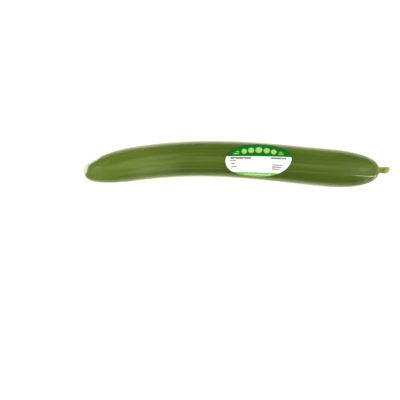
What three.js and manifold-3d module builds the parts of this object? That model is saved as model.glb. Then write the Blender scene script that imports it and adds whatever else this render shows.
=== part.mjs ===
// A long salad cucumber as it is sold: the fruit, the stub of its cut stem, a clear film sleeve shrunk over
// both ends, and an oval label on the film. Millimetres, +Z up. The fruit lies on its side along X with its stem
// end at +X, and bows in the plane of the table, with the hollow of the bow towards -Y.
//
// Every surface is found from one "mould", the smooth shape of the fruit without its furrows. A point of it is
// named by along, the distance along the spine from the blossom tip, and turn, the angle round the spine: 0
// faces -Y and a quarter turn faces up.
import * as THREE from "three";
import { mergeVertices } from "three/addons/utils/BufferGeometryUtils.js";
import Module from "manifold-3d";

const wasm = await Module();
wasm.setup();

const TAU = 2 * Math.PI;
const degrees = THREE.MathUtils.degToRad;
const STRAIGHT_DOWN = -TAU / 4; // as a turn

// ---------------------------------------------------------------------------- driving dimensions
// The spine seen from above: blossom tip, two handles that set the bow, and the middle of the stem's cut.
const SPINE_HANDLES = [
  [-162.2, -14.2],
  [-15.4, 56.7],
  [79.6, -23.1],
  [159.35, -9.95],
];

const FULL_RADIUS = 19.7; // of the mould
const BLOSSOM_LOSS = 2.9; // how much slimmer it is at the blossom end
const BLOSSOM_TAPER = 4; // power of the fall, so that most of it is near that end
const BLOSSOM_ROUND = 56; // length over which the blossom end closes
const BLOSSOM_POWER = 0.4; // one half would be an ellipse, and less is blunter
const SHOULDER_ROUND = 54; // length over which the stem end closes
const SHOULDER_POWER = 0.37;
const WOBBLE = 0.16; // how far the section is from round
// Waves round the section, and how far each winds round from the blossom tip to the shoulder, in radians.
const WOBBLE_WAVES = [
  { around: 1, winds: 11, starts: 0 },
  { around: 2, winds: 4, starts: 0 },
  { around: 3, winds: -7, starts: 1 },
];
const WOBBLE_FADE = 0.15; // share of the length, at each end, over which the waves fade
const NECK_RADIUS = 2.9; // of the fruit where the stem leaves it
const NECK_FILLET = 3; // between shoulder and neck
const NECK_LENGTH = 0.6;
const FURROWS = 10;
const FURROW_DEPTH = 0.4;
const FURROW_END_DEPTH = 0.75; // the furrows deepen towards both ends
const FURROW_DEEPENING = { blossom: [0.3, 0.04], shoulder: [0.74, 0.98] }; // where, as shares of the length
const FURROW_ONSET = [0.6, 0.98]; // mould radii, as shares of the full one, where they begin and are whole
const FURROW_SWAY = 0.12; // how far they wander round the fruit, in radians
const FURROW_SWAYS = 4; // how often, in radians of a wave along the length
const FURROW_UNEVEN = { share: 0.25, around: 3, starts: 1.3 }; // some are deeper than others

const STEM_LENGTH = 10.5; // from the shoulder to the middle of the cut
const STEM_BASE_RADIUS = 3.3;
const STEM_WAIST_RADIUS = 3.15;
const STEM_CUT_RADIUS = 3.35;
const STEM_RIDGES = 5;
const STEM_RIDGE = 0.2;
const STEM_BEND = 0.8; // how far the cut is bent towards -Y
const STEM_DROOP = 0.5; // and down
const CUT_TURN = degrees(43); // the cut face looks that far from +X towards -Y
const CUT_TILT = degrees(8); // and that far up

const GAP = 0.3; // between pieces that touch
const FILM_THICKNESS = 0.3;
const FILM_OUTSIDE = GAP + FILM_THICKNESS;
const FILM_REACH = 1.8; // past the shoulder, so the film grips the foot of the stem
const FILM_RIM = 0.25; // how much thicker the shrunk rim is
const FOLD_WIDTH = 1;
const FOLD_CREST = 0.62; // width of a fold's top as a share of its foot
const FOLD_SINK = 0.2; // how deep a fold is rooted in the film's wall
const TAIL_HEIGHT = 2.1; // of the sealed tail over the blossom end
const TAIL_TURN = degrees(123);
const TAIL_REACH = 12; // how far back along the fruit the tail runs
const TAIL_RUFFLE = degrees(7); // how far its edge waves to each side
const TAIL_RUFFLES = 11; // radians of that wave from end to end
const TAIL_RISE = [-0.05, 0.3]; // shares of its length over which it rises, then falls
const TAIL_FALL = [1, 0.45];
// Creases left where the film was gathered: distance from the blossom tip and turn in degrees at both ends, the
// power with which the turn changes between them, and height.
const BLOSSOM_CREASE = { from: [8, 57], to: [20, 37.5], power: 0.7, height: 0.4 };
// The same, but with the distance counted from the shoulder.
const STEM_CREASE = { from: [-38, 10.5], to: [-4.5, -5], power: 3, height: 0.6 };
const CREASE_BLUNTNESS = 0.7; // power of its arched profile, and less is blunter

const LABEL_LENGTH = 72;
const LABEL_WIDTH = 39.7;
const LABEL_THICKNESS = 0.3;
const LABEL_ALONG = 191.4; // of its middle, from the blossom tip
const LABEL_TURN = degrees(32.4);
const LABEL_TILT = degrees(7.5); // its long axis against the spine

const RESTING_FLAT = 0.3; // how far the underside is pressed flat where it lies on the table
const RESTING_PLACES = [57, 170, 266]; // distances from the blossom tip of the three places that carry it
const RESTING_LENGTH = 3; // of each place
const RESTING_TURN = degrees(5); // its width, as a turn round the film
const RESTING_CLEARANCE = 0.25; // of the flattened underside between them
const RESTING_RISE = 8; // length over which the underside rises beside a place
const RESTING_RISE_TURN = degrees(10); // and turn over which it rises round the film

// Mesh resolution
const FRUIT_SIDES = 60;
const FILM_SIDES = 36;
const END_STEPS = 10;
const BODY_STEPS = 22;
const STEM_STEPS = 7;
const STEM_SIDES = 20;
const FOLD_STEPS = 16;
const LABEL_RINGS = 8;
const LABEL_SIDES = 48;

// ---------------------------------------------------------------------------- the mould
const spine = new THREE.CubicBezierCurve3(...SPINE_HANDLES.map(([x, y]) => new THREE.Vector3(x, y, 0)));
spine.arcLengthDivisions = 600;
const SPINE_LENGTH = spine.getLength();
const FRUIT_LENGTH = SPINE_LENGTH - STEM_LENGTH;

const mix = THREE.MathUtils.lerp;

// 0 at from and 1 at to, whichever of them is larger, with no jolt at either.
function smooth(from, to, value) {
  const share = THREE.MathUtils.clamp((value - from) / (to - from), 0, 1);
  return share * share * (3 - 2 * share);
}

const steps = (count) => Array.from({ length: count + 1 }, (_, i) => i / count);

// The larger of two values, with a fillet where they cross.
const filletedMax = (a, b, fillet) => 0.5 * (a + b + Math.hypot(a - b, fillet));

const fullRadius = (along) => FULL_RADIUS - BLOSSOM_LOSS * (1 - along / FRUIT_LENGTH) ** BLOSSOM_TAPER;

// 0 at the end of the fruit and 1 where the end's rounding is over.
function closing(distance, length, power) {
  const left = 1 - THREE.MathUtils.clamp(distance / length, 0, 1);
  return (1 - left * left) ** power;
}

function mouldRadius(along) {
  const body = fullRadius(Math.min(along, FRUIT_LENGTH)) * closing(along, BLOSSOM_ROUND, BLOSSOM_POWER);
  const shoulder = body * closing(FRUIT_LENGTH - along, SHOULDER_ROUND, SHOULDER_POWER);
  return along > FRUIT_LENGTH / 2 ? filletedMax(shoulder, NECK_RADIUS, NECK_FILLET) : shoulder;
}

// Where the spine is, which way it runs, and the two directions across it. The spine is as high as brings the
// underside of the film to the table.
function station(along) {
  const share = THREE.MathUtils.clamp(along / SPINE_LENGTH, 0, 1);
  const origin = spine.getPointAt(share);
  const tangent = spine.getTangentAt(share);
  const fullHeight = fullRadius(Math.min(along, FRUIT_LENGTH)) + outOfRound(along, STRAIGHT_DOWN);
  origin.z = fullHeight + FILM_OUTSIDE - RESTING_FLAT;
  const side = new THREE.Vector3(tangent.y, -tangent.x, 0);
  const up = new THREE.Vector3(0, 0, 1);
  return { origin, tangent, side, up };
}

function onSection({ origin, side, up }, radius, turn) {
  const point = origin.clone().addScaledVector(side, radius * Math.cos(turn));
  return point.addScaledVector(up, radius * Math.sin(turn));
}

// The section is a little oval and three-sided, and changes along the fruit.
function outOfRound(along, turn) {
  const share = along / FRUIT_LENGTH;
  const fading = smooth(0, WOBBLE_FADE, share) * smooth(1, 1 - WOBBLE_FADE, share);
  const wave = ({ around, winds, starts }) => Math.sin(around * turn + winds * share + starts);
  return WOBBLE * fading * WOBBLE_WAVES.reduce((total, each) => total + wave(each), 0);
}

function mouldPoint(along, turn) {
  return onSection(station(along), mouldRadius(along) + outOfRound(along, turn), turn);
}

// Outward direction of the mould. At the blossom tip it points back along the spine.
function mouldNormal(along, turn) {
  if (along <= 0) return station(0).tangent.negate();
  const step = Math.min(0.05, along / 2);
  const lengthwise = mouldPoint(along + step, turn).sub(mouldPoint(along - step, turn));
  const round = mouldPoint(along, turn + 0.01).sub(mouldPoint(along, turn - 0.01));
  return lengthwise.cross(round).normalize();
}

// How high the flattened underside is over the table.
function clearance(along, turn) {
  const nearest = Math.min(...RESTING_PLACES.map((place) => Math.abs(along - place)));
  const offDown = Math.acos(THREE.MathUtils.clamp(-Math.sin(turn), -1, 1));
  const rise = smooth(0, RESTING_RISE, nearest - RESTING_LENGTH / 2);
  return RESTING_CLEARANCE * Math.max(rise, smooth(0, RESTING_RISE_TURN, offDown - RESTING_TURN / 2));
}

// A point at a height above the mould, pressed flat where it would go lower than the underside allows. A layer
// that has others under it keeps their thickness below it.
function above(along, turn, height, layersBelow = -Infinity) {
  const point = mouldPoint(along, turn).addScaledVector(mouldNormal(along, turn), height);
  point.z = Math.max(point.z, clearance(along, turn) + layersBelow);
  return point;
}

// ---------------------------------------------------------------------------- lofting
// A closed solid through rings of points. Each ring runs anticlockwise as seen from the last ring, and each end
// is closed to one point: the one given, or the middle of the end ring.
function loft(rings, { first = middle(rings[0]), last = middle(rings.at(-1)) } = {}) {
  const sides = rings[0].length;
  const positions = [first, ...rings.flat(), last].flatMap((p) => [p.x, p.y, p.z]);
  const lastIndex = rings.length * sides + 1;
  const at = (ring, side) => 1 + ring * sides + (side % sides);
  const index = [];
  for (let side = 0; side < sides; side++) {
    index.push(0, at(0, side), at(0, side + 1));
    for (let ring = 0; ring + 1 < rings.length; ring++) {
      index.push(at(ring, side), at(ring + 1, side), at(ring + 1, side + 1));
      index.push(at(ring, side), at(ring + 1, side + 1), at(ring, side + 1));
    }
    index.push(lastIndex, at(rings.length - 1, side + 1), at(rings.length - 1, side));
  }
  const geometry = new THREE.BufferGeometry();
  geometry.setAttribute("position", new THREE.Float32BufferAttribute(positions, 3));
  geometry.setIndex(index);
  return geometry;
}

function middle(points) {
  const sum = points.reduce((total, p) => total.add(p), new THREE.Vector3());
  return sum.divideScalar(points.length);
}

// Ring angles, placed so that two of them lie the same way each side of straight down.
const turns = (sides) => Array.from({ length: sides }, (_, i) => STRAIGHT_DOWN + (TAU * (i + 0.5)) / sides);

// The same, but with those two only as far apart as a resting place is wide.
const filmTurns = Array.from({ length: FILM_SIDES }, (_, i) => {
  return STRAIGHT_DOWN + RESTING_TURN / 2 + ((TAU - RESTING_TURN) * i) / (FILM_SIDES - 1);
});

// Ring places along the fruit: close together where the ends round off, even between, and two at each resting
// place with none close beside them.
function stations(lastAlong) {
  const blossom = steps(END_STEPS).map((t) => BLOSSOM_ROUND * t * t);
  const shoulder = steps(END_STEPS).map((t) => FRUIT_LENGTH - SHOULDER_ROUND * (1 - t) ** 2);
  const body = steps(BODY_STEPS).map((t) => mix(blossom.at(-1), shoulder[0], t));
  const offPlaces = (along) => RESTING_PLACES.every((place) => Math.abs(along - place) > RESTING_RISE / 2);
  const between = [...blossom.slice(1), ...body.slice(1, -1), ...shoulder].filter(offPlaces);
  const places = RESTING_PLACES.flatMap((place) => [place - RESTING_LENGTH / 2, place + RESTING_LENGTH / 2]);
  return [...between, ...places].sort((a, b) => a - b).concat(lastAlong);
}

// ---------------------------------------------------------------------------- fruit and stem
function furrow(along, turn) {
  const share = along / FRUIT_LENGTH;
  const { blossom, shoulder } = FURROW_DEEPENING;
  const inBody = (1 - smooth(...blossom, share)) * (1 - smooth(...shoulder, share));
  const onset = smooth(...FURROW_ONSET, mouldRadius(along) / FULL_RADIUS);
  const uneven = FURROW_UNEVEN.share * (Math.sin(FURROW_UNEVEN.around * turn + FURROW_UNEVEN.starts) - 1);
  const swayed = turn + FURROW_SWAY * Math.sin(FURROW_SWAYS * share);
  const wave = (1 - Math.cos(FURROWS * swayed)) / 2;
  return mix(FURROW_END_DEPTH, FURROW_DEPTH, inBody) * onset * (1 + uneven) * wave ** 2;
}

// The fruit: the mould with shallow furrows pressed into it.
function makeFruit() {
  const rings = stations(FRUIT_LENGTH + NECK_LENGTH).map((along) =>
    turns(FRUIT_SIDES).map((turn) => above(along, turn, -furrow(along, turn), FILM_OUTSIDE)),
  );
  return loft(rings, { first: above(0, 0, 0) });
}

// The stem stub: five soft ridges round a waisted rod, cut off at a slant.
function makeStem() {
  const start = FRUIT_LENGTH + NECK_LENGTH + GAP;
  const cutNormal = new THREE.Vector3(Math.cos(CUT_TURN), -Math.sin(CUT_TURN), 0)
    .multiplyScalar(Math.cos(CUT_TILT))
    .setZ(Math.sin(CUT_TILT));
  const rings = steps(STEM_STEPS).map((t) => {
    const here = station(mix(start, SPINE_LENGTH, t));
    here.origin.addScaledVector(here.side, STEM_BEND * t * t).addScaledVector(here.up, -STEM_DROOP * t * t);
    const waist = mix(STEM_BASE_RADIUS, STEM_WAIST_RADIUS, smooth(0, 0.5, t));
    const radius = mix(waist, STEM_CUT_RADIUS, smooth(0.5, 1, t));
    return turns(STEM_SIDES).map((turn) => {
      const point = onSection(here, radius + STEM_RIDGE * Math.cos(STEM_RIDGES * turn), turn);
      const short = here.origin.clone().sub(point).dot(cutNormal) / here.tangent.dot(cutNormal);
      return point.addScaledVector(here.tangent, short * t);
    });
  });
  return loft(rings);
}

// ---------------------------------------------------------------------------- film
// A fold of the film: a low wall along a path of [along, turn] places. Its height is a function of the share of
// the path that is behind.
function makeFold(path, height) {
  const feet = path.map(([along, turn]) => above(along, turn, FILM_OUTSIDE));
  const rings = path.map(([along, turn], i) => {
    const normal = mouldNormal(along, turn);
    const ahead = feet[Math.min(i + 1, feet.length - 1)].clone().sub(feet[Math.max(i - 1, 0)]);
    const right = ahead.cross(normal).normalize();
    const corner = (across, up) => {
      const point = feet[i].clone().addScaledVector(right, (across * FOLD_WIDTH) / 2);
      return point.addScaledVector(normal, up);
    };
    const top = height(i / (path.length - 1));
    return [corner(1, -FOLD_SINK), corner(FOLD_CREST, top), corner(-FOLD_CREST, top), corner(-1, -FOLD_SINK)];
  });
  return loft(rings);
}

// The sealed tail of the sleeve: it rises beside the blossom tip, ruffled, and runs out along the fruit.
function makeTail() {
  const ruffled = (t) => TAIL_TURN + TAIL_RUFFLE * t * Math.sin(TAIL_RUFFLES * t);
  const path = steps(FOLD_STEPS).map((t) => [TAIL_REACH * t * t, ruffled(t)]);
  const height = (t) => TAIL_HEIGHT * smooth(...TAIL_RISE, t) * smooth(...TAIL_FALL, t);
  return makeFold(path, height);
}

function makeCrease({ from, to, power, height }, start) {
  const along = (t) => start + mix(from[0], to[0], t);
  const turn = (t) => degrees(mix(from[1], to[1], t ** power));
  const path = steps(FOLD_STEPS).map((t) => [along(t), turn(t)]);
  return makeFold(path, (t) => height * Math.sin(Math.PI * t) ** CREASE_BLUNTNESS);
}

function makeFilm() {
  const rimAlong = FRUIT_LENGTH + FILM_REACH;
  const ring = (along, height, below) => filmTurns.map((turn) => above(along, turn, height, below));
  const wall = (height, below) => stations(rimAlong).map((along) => ring(along, height(along), below));
  const outside = wall((along) => FILM_OUTSIDE + FILM_RIM * smooth(FRUIT_LENGTH - 1, rimAlong, along), 0);
  const inside = wall(() => GAP, FILM_THICKNESS);
  const sleeve = loft([...outside, ...inside.reverse()], {
    first: above(0, 0, FILM_OUTSIDE),
    last: above(0, 0, GAP),
  });
  const folds = [makeTail(), makeCrease(BLOSSOM_CREASE, 0), makeCrease(STEM_CREASE, FRUIT_LENGTH)];
  return geometryOf(folds.reduce((whole, fold) => whole.add(solidOf(fold)), solidOf(sleeve)));
}

// ---------------------------------------------------------------------------- label
// An ellipse wrapped on the film.
function makeLabel() {
  const radius = mouldRadius(LABEL_ALONG) + FILM_OUTSIDE + GAP;
  const place = (reach, bearing) => {
    const lengthwise = (reach * LABEL_LENGTH * Math.cos(bearing)) / 2;
    const round = (reach * LABEL_WIDTH * Math.sin(bearing)) / 2;
    const along = LABEL_ALONG + lengthwise * Math.cos(LABEL_TILT) - round * Math.sin(LABEL_TILT);
    const arc = lengthwise * Math.sin(LABEL_TILT) + round * Math.cos(LABEL_TILT);
    return [along, LABEL_TURN + arc / radius];
  };
  const sheet = (height) =>
    steps(LABEL_RINGS).slice(1).map((reach) =>
      steps(LABEL_SIDES).slice(1).map((t) => above(...place(reach, TAU * t), height)),
    );
  const under = FILM_OUTSIDE + GAP;
  const over = under + LABEL_THICKNESS;
  return loft([...sheet(over), ...sheet(under).reverse()], {
    first: above(...place(0, 0), over),
    last: above(...place(0, 0), under),
  });
}

// ---------------------------------------------------------------------------- manifold-3d and back
function solidOf(geometry) {
  const bare = geometry.clone();
  bare.deleteAttribute("normal");
  bare.deleteAttribute("uv");
  const merged = mergeVertices(bare, 1e-4);
  const vertProperties = merged.attributes.position.array;
  const triVerts = new Uint32Array(merged.index.array);
  return new wasm.Manifold(new wasm.Mesh({ numProp: 3, vertProperties, triVerts }));
}

function geometryOf(solid) {
  const { vertProperties, triVerts } = solid.getMesh();
  const geometry = new THREE.BufferGeometry();
  geometry.setAttribute("position", new THREE.BufferAttribute(vertProperties, 3));
  geometry.setIndex(new THREE.BufferAttribute(triVerts, 1));
  return geometry;
}

// ---------------------------------------------------------------------------- assembly
const cucumber = new THREE.Group();

function addPiece(name, geometry, look) {
  geometry.computeVertexNormals();
  const mesh = new THREE.Mesh(geometry, new THREE.MeshStandardMaterial({ metalness: 0, ...look }));
  mesh.name = name;
  cucumber.add(mesh);
}

addPiece("fruit", makeFruit(), { color: 0x556c26, roughness: 0.45 });
addPiece("stem", makeStem(), { color: 0x7c8f38, roughness: 0.7 });
addPiece("film", makeFilm(), { color: 0xf2f5ee, roughness: 0.15, transparent: true, opacity: 0.25 });
addPiece("label", makeLabel(), { color: 0xfdfef8, roughness: 0.35 });

// The origin is on the table, under the middle of the whole thing.
const box = new THREE.Box3().setFromObject(cucumber, true);
const centre = box.getCenter(new THREE.Vector3());
cucumber.position.set(-centre.x, -centre.y, -box.min.z);

export default cucumber;
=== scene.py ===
import math
from functools import partialmethod

import bpy
import numpy as np
from bpy.props import FloatProperty, FloatVectorProperty, IntProperty, PointerProperty
from bpy.types import Operator, Panel, PropertyGroup
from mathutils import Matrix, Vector


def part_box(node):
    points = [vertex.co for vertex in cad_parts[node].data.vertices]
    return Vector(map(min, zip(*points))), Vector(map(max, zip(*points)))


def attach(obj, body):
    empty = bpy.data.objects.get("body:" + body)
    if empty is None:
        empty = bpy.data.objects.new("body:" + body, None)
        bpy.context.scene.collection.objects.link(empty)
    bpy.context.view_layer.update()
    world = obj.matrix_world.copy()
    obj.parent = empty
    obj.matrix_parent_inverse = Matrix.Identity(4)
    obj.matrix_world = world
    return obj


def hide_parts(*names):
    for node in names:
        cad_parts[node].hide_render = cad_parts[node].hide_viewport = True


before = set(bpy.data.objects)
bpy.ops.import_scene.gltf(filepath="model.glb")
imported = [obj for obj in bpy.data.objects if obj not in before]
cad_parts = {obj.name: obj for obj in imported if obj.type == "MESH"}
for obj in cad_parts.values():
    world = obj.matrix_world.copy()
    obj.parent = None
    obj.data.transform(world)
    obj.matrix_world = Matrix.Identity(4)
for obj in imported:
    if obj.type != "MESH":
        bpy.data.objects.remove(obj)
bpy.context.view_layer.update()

bl_info = {
    "name": "Wrapped Cucumber",
    "version": (1, 0, 0),
    "blender": (4, 5, 0),
    "location": "View3D > Sidebar > Cucumber",
    "description": "Dresses a shrink-wrapped cucumber with skin, stem, film and label",
    "category": "Object",
}

# Every surface is found from one "mould", the smooth shape of the fruit without its furrows. A point of it
# is named by along, the distance along the spine from the blossom tip, and turn, the angle round the spine:
# 0 faces -Y and a quarter turn faces up. Lengths are in metres and angles in radians.
MM = 0.001
TAU = 2 * math.pi
DEGREE = TAU / 360

# ---- driving dimensions
SPINE_HANDLES = np.array([(-162.2, -14.2), (-15.4, 56.7), (79.6, -23.1), (159.35, -9.95)]) * MM
SPINE_SAMPLES = 2000

FULL_RADIUS = 19.7 * MM
BLOSSOM_LOSS = 2.9 * MM
BLOSSOM_TAPER = 4
BLOSSOM_ROUND = 56 * MM
BLOSSOM_POWER = 0.4
SHOULDER_ROUND = 54 * MM
SHOULDER_POWER = 0.37
WOBBLE = 0.16 * MM
WOBBLE_WAVES = ((1, 11, 0), (2, 4, 0), (3, -7, 1))  # how often round, how far each winds, where it starts
WOBBLE_FADE = 0.15
NECK_RADIUS = 2.9 * MM
NECK_FILLET = 3 * MM
NECK_LENGTH = 0.6 * MM

STEM_LENGTH = 10.5 * MM
STEM_RADII = np.array([3.3, 3.15, 3.35]) * MM  # at its foot, halfway and at the cut
STEM_RIDGES = 5
STEM_BEND, STEM_DROOP = 0.8 * MM, 0.5 * MM
CUT_TURN = 43 * DEGREE
CUT_TILT = 8 * DEGREE
CUT_RIM = 0.35  # how far the cut's rim stands out, as a share of its dish

GAP = 0.3 * MM
FILM_THICKNESS = 0.3 * MM
FILM_OUTSIDE = GAP + FILM_THICKNESS
FILM_REACH = 1.8 * MM
FOLD_SINK = 0.2 * MM
TAIL_HEIGHT = 2.1 * MM
TAIL_TURN = 123 * DEGREE
TAIL_REACH = 12 * MM
TAIL_RUFFLE = 7 * DEGREE
TAIL_RUFFLES = 11
TAIL_WALL = 0.25 * MM
CAP_TURN = 140 * DEGREE  # how far to each side of the tail the bunched film reaches at the tip
CAP_REACH = 17 * MM  # how far back along the fruit
CAP_POWER = 1.5
CAP_BAND = 36 * DEGREE  # the same along its band over the crown
CAP_PLEATS = 26
CAP_RAGS = 0.7 * MM
CAP_RAG_RUN = 3.6 * MM
CAP_RAG_SWAY = (3, 5)  # how far the rags lean, and how many times round
CAP_PLEAT_SWAY = (1.5, 3)  # the same for the pleats
CAP_EDGE = (-1.2 * MM, 1.8 * MM)  # the bunched film turns clear between these distances from its edge
CAP_END = (1.5 * CAP_REACH, 1.1 * CAP_REACH)
CAP_BAND_END = (1.5 * CAP_REACH, 0.9 * CAP_REACH)
# Creases: distance and turn at both ends in mm and degrees, and the power with which the turn changes.
BLOSSOM_CREASE = ((8, 57), (20, 37.5), 0.7)
STEM_CREASE = ((-38, 10.5), (-3.5, -3.5), 3)  # with the distance counted from the shoulder
BLOSSOM_CREST = 0.4  # how far along it the crease is highest
STEM_CREST = 0.9
# The sleeve's fine seam, in mm and degrees. It runs on from crease to crease and under the label.
SEAM_PLACES = (
    (20, 37.5), (40, 23.5), (63, 11), (88, 2), (114, -3), (137, -4), (159, -2), (192, 3), (226, 8),
    (243, 10.5), (261, 12), (280, 10.6),
)
SEAM_SOFTNESS = 21  # mm of the seam that are averaged
# Streaks of painted sheen that whiten the sleeve: distance and turn at both ends in mm and degrees, half
# width, strength.
SHEEN_STREAKS = (
    ((24, 31), (62, 19), 10, 0.45),
    ((58, 19), (96, 22), 7, 0.4),
    ((48, 2), (104, 4), 16, 1.15),
)
# The RIB and RUCK places bound the painted sheen over the shoulder.
# Where the sleeve's finish changes: in mm before the fruit's end,
SHOULDER_ZONE = (55, 15)
COLLAR_ZONE = (6, 1)
RIB_ZONE = (52, 30)
RIB_FADE = (24, 8)
RUCK_ZONE = (30, 8)
# in mm from the blossom tip,
BLOSSOM_ZONE = (70, 20)
SLACK_ZONE = (22, 8)
# in degrees of turn,
UNDERSIDE = (15, -20)
RIB_TOP = (74, 44)
RUCK_FOOT = (-75, -40)
# and in height above the crease by the stem.
RIB_FOOT = (-0.3 * MM, 0.8 * MM)
RUCK_TOP = (0.6 * MM, -0.4 * MM)
# How much less the film mirrors where it is crumpled, and how much of that the slack film gets back.
SHOULDER_CRUMPLE = 0.35
UNDERSIDE_CRUMPLE = 0.25
COLLAR_CRUMPLE = 0.35
BLOSSOM_CRUMPLE = 0.3
SLACK_GLOSS = 0.6
PLEAT_MILK = 0.93  # how milky bunched film is halfway down a pleat
SQUARE_ON = 0.05  # share of the light that film mirrors where it is looked at squarely
EDGE_ON = 0.4  # and near its outline

LABEL_LENGTH = 72 * MM
LABEL_WIDTH = 39.7 * MM
LABEL_THICKNESS = 0.3 * MM
LABEL_ALONG = 191.4 * MM
LABEL_TURN = 32.4 * DEGREE
LABEL_TILT = 7.5 * DEGREE
PRINT_TILT = -3.8 * DEGREE  # of the print, against the label's long axis
PRINT_EDGE = 0.12 * MM
# Printed on the label, in mm from its middle: rules as left, right, foot and thickness, and cut slices as
# middle, height and radius.
LABEL_RULES = (
    (-30.5, -7.0, 0.9, 2.1), (-31.0, -24.0, -1.3, 1.4), (-29.5, -25.0, -4.6, 1.6), (-29.0, -23.0, -8.0, 1.5),
    (14.0, 30.5, 0.9, 2.1), (15.5, 27.5, -5.8, 1.3), (15.5, 26.0, -7.9, 1.3), (15.5, 24.5, -10.0, 1.3),
)
LIME_RULES = ((-27, -20.5, 6.0, 1.4), (-24.5, -20.5, 8.4, 1.2), (22, 27.5, 6.0, 1.4), (22, 26, 8.4, 1.2))
LABEL_SLICES = ((-15.0, 9.3, 3.0), (-7.5, 10.6, 3.4), (0.9, 11.2, 3.8), (9.3, 10.6, 3.4), (16.8, 9.3, 3.0))
SEEDS_ROUND = 9
WAVE_LENGTH, WAVE_HEIGHT = 6 * MM, 0.5 * MM
WAVE_REACH, WAVE_WIDTH = 15, 0.3  # mm to each side of its middle

RESTING_FLAT = 0.3 * MM
RESTING_PLACES = np.array([57, 170, 266]) * MM
RESTING_LENGTH = 3 * MM
RESTING_TURN = 5 * DEGREE
RESTING_CLEARANCE = 0.25 * MM
RESTING_RISE = 8 * MM
RESTING_RISE_TURN = 10 * DEGREE

CAMERA_PLACE = np.array([-39.96, -523.79, 315.08]) * MM
CAMERA_PITCH = 33  # degrees down
# Name, place, width and height in metres, and power in watts.
SOFT_BOXES = (
    ("front_box", (0.14, -0.7, 0.87), (0.38, 0.38), 2.2),
    ("low_box", (0.56, -0.78, 0.41), (0.4, 0.34), 2.2),
    ("right_box", (1.0, -0.6, 0.45), (0.8, 0.8), 8.0),
)
WHITE_UP_TO = 0.7  # sine of the elevation that the pale walls reach
CEILING = 0.45  # how bright the room is above them
BACK_WALL = 1.25  # how much brighter the wall behind the fruit is
LEFT_WALL = 1.4  # and the one past its blossom end
WHITE = (1.0, 1.0, 1.0)
ORIGIN = (0, 0, 0)

# Mesh resolution
FRUIT_RINGS, FRUIT_SIDES = 300, 160
FILM_RINGS, FILM_SIDES = 230, 182
STEM_RINGS, STEM_SIDES = 40, 90
LABEL_RINGS, LABEL_SIDES = 40, 180
CUT_RINGS = 8
FOLD_STEPS = 160
TAIL_ROWS = 10
END_SHARE = 0.26  # of the rings, given to each rounded end
BLOSSOM_CROWDING, SHOULDER_CROWDING = 3, 2.2  # powers with which they crowd there


# ---- the mould
def bezier(t):
    """Points of the spine and the directions in which it runs there."""
    t = np.asarray(t)[..., None]
    a, b, c, d = SPINE_HANDLES
    point = (1 - t) ** 3 * a + 3 * (1 - t) ** 2 * t * b + 3 * (1 - t) * t**2 * c + t**3 * d
    slope = (1 - t) ** 2 * (b - a) + 2 * (1 - t) * t * (c - b) + t**2 * (d - c)
    return point, slope / np.linalg.norm(slope, axis=-1, keepdims=True)


SPINE_SHARES = np.linspace(0, 1, SPINE_SAMPLES + 1)
SPINE_STEPS = np.linalg.norm(np.diff(bezier(SPINE_SHARES)[0], axis=0), axis=1)
SPINE_RUN = np.concatenate([[0], np.cumsum(SPINE_STEPS)])
SPINE_LENGTH = SPINE_RUN[-1]
FRUIT_LENGTH = SPINE_LENGTH - STEM_LENGTH
NECK_END = FRUIT_LENGTH + NECK_LENGTH


def mix(a, b, share):
    return a + (b - a) * share


def smooth(start, end, value):
    """0 at start and 1 at end, whichever of them is larger, with no jolt at either."""
    share = np.clip((value - start) / (end - start), 0, 1)
    return share * share * (3 - 2 * share)


def towards_neck(far, near, along):
    """0 at far mm before the end of the fruit and 1 at near mm."""
    return smooth(-far, -near, (along - FRUIT_LENGTH) / MM)


def half_turned(turn):
    """The same turn between half a turn back and half a turn on."""
    return (turn + TAU / 2) % TAU - TAU / 2


def grids(*values):
    return np.broadcast_arrays(*(np.asarray(value, float) for value in values))


def full_radius(along):
    return FULL_RADIUS - BLOSSOM_LOSS * (1 - np.minimum(along, FRUIT_LENGTH) / FRUIT_LENGTH) ** BLOSSOM_TAPER


def closing(distance, length, power):
    """0 at the end of the fruit and 1 where the end's rounding is over."""
    left = 1 - np.clip(distance / length, 0, 1)
    return (1 - left * left) ** power


def mould_radius(along):
    body = full_radius(along) * closing(along, BLOSSOM_ROUND, BLOSSOM_POWER)
    shoulder = body * closing(FRUIT_LENGTH - along, SHOULDER_ROUND, SHOULDER_POWER)
    necked = 0.5 * (shoulder + NECK_RADIUS + np.hypot(shoulder - NECK_RADIUS, NECK_FILLET))
    return np.where(along > FRUIT_LENGTH / 2, necked, shoulder)


def out_of_round(along, turn):
    """The section is a little oval and three-sided, and changes along the fruit."""
    share = along / FRUIT_LENGTH
    fading = smooth(0, WOBBLE_FADE, share) * smooth(1, 1 - WOBBLE_FADE, share)
    waves = sum(np.sin(around * turn + winds * share + starts) for around, winds, starts in WOBBLE_WAVES)
    return WOBBLE * fading * waves


def station(along):
    """Where the spine is, which way it runs, and the direction across it that turn 0 faces."""
    point, tangent = bezier(np.interp(along, SPINE_RUN, SPINE_SHARES))
    height = full_radius(along) + out_of_round(along, -TAU / 4) + FILM_OUTSIDE - RESTING_FLAT
    origin = np.concatenate([point - CENTRE, height[..., None]], axis=-1)
    flat = np.zeros_like(height)
    side = np.stack([tangent[..., 1], -tangent[..., 0], flat], axis=-1)
    return origin, np.stack([tangent[..., 0], tangent[..., 1], flat], axis=-1), side


def on_section(origin, side, radius, turn):
    offset = side * (radius * np.cos(turn))[..., None]
    return origin + offset + np.array([0, 0, 1]) * (radius * np.sin(turn))[..., None]


def mould_point(along, turn):
    along, turn = grids(along, turn)
    origin, _, side = station(along)
    return on_section(origin, side, mould_radius(along) + out_of_round(along, turn), turn)


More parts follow.
